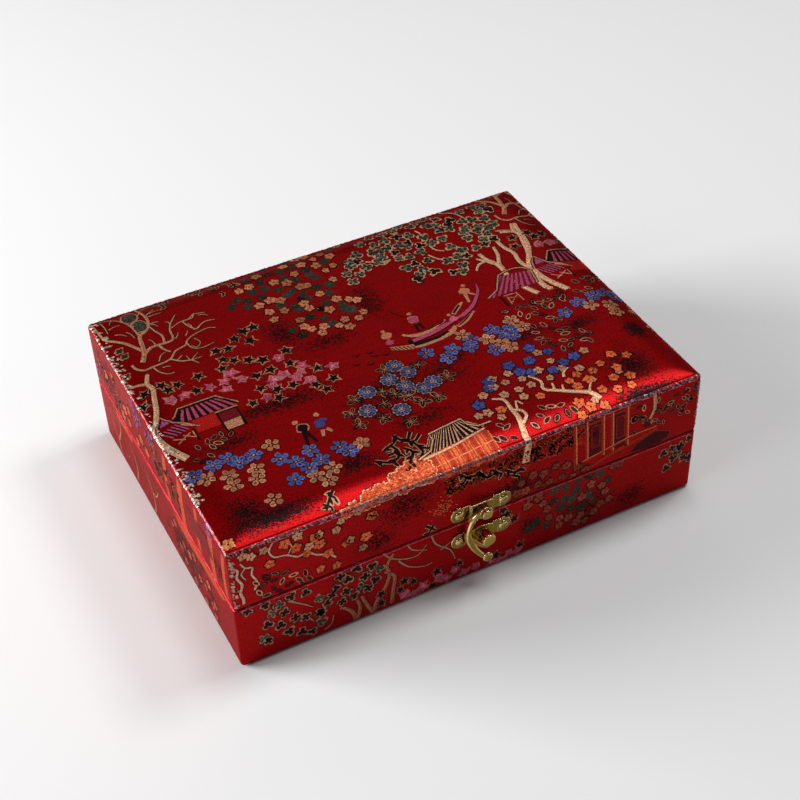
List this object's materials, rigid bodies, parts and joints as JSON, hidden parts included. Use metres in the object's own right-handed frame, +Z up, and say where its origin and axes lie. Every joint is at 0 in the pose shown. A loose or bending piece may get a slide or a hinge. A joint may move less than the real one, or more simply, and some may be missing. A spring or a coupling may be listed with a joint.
{
  "type": "keepsake box",
  "caption": "Rectangular keepsake box covered in brocade, with a padded lid on butt hinges at the back and a swing-hook latch at the front.",
  "frame": {"origin": "centre of the flat underside that the box rests on", "axes": "+X along the length to the right as seen from the front, +Y to the hinged back, +Z up; the latch is on the -Y side"},
  "size_m": [0.2, 0.1613, 0.0622],
  "materials": {
    "board": "raw fibreboard, hidden under cloth and lining",
    "brocade": "red satin-ground brocade with a landscape figure in tan, green, blue, pink and orange yarns",
    "satin": "golden yellow satin",
    "wadding": "soft foam wadding",
    "bottom_paper": "dark matt paper",
    "brass_fittings": "stamped and cast brass, lightly aged",
    "brass_fasteners": "brass screws and nails"
  },
  "bodies": {
    "base": {"base_bottom_sheet": "bottom_paper", "base_floor_board": "board", "base_front_board": "board", "base_back_board": "board", "base_left_board": "board", "base_right_board": "board", "base_cover": "brocade", "base_front_lining": "satin", "base_back_lining": "satin", "base_left_lining": "satin", "base_right_lining": "satin", "base_floor_pad": "satin", "catch_plate": "brass_fittings", "catch_post": "brass_fittings", "catch_screws": "brass_fasteners", "hinge_base_leaf_left": "brass_fittings", "hinge_base_leaf_right": "brass_fittings", "hinge_pin_left": "brass_fittings", "hinge_pin_right": "brass_fittings", "hinge_base_nails": "brass_fasteners"},
    "lid": {"lid_top_board": "board", "lid_front_board": "board", "lid_back_board": "board", "lid_left_board": "board", "lid_right_board": "board", "lid_wadding": "wadding", "lid_cover": "brocade", "lid_front_lining": "satin", "lid_back_lining": "satin", "lid_left_lining": "satin", "lid_right_lining": "satin", "lid_top_pad": "satin", "hook_plate": "brass_fittings", "hook_rivet": "brass_fittings", "hook_plate_screws": "brass_fasteners", "hinge_lid_leaf_left": "brass_fittings", "hinge_lid_leaf_right": "brass_fittings", "hinge_lid_nails": "brass_fasteners"},
    "hook": {"hook": "brass_fittings"}
  },
  "joints": [
    {"name": "lid_hinge", "type": "hinge", "parent": "base", "child": "lid", "pos_m": [0, 0.077, 0.03135], "axis": [-1, 0, 0], "range_deg": [0, 180]},
    {"name": "hook_swing", "type": "hinge", "parent": "lid", "child": "hook", "pos_m": [0.0012, -0.0782, 0.0361], "axis": [0, 1, 0], "range_deg": [-3, 90]}
  ]
}
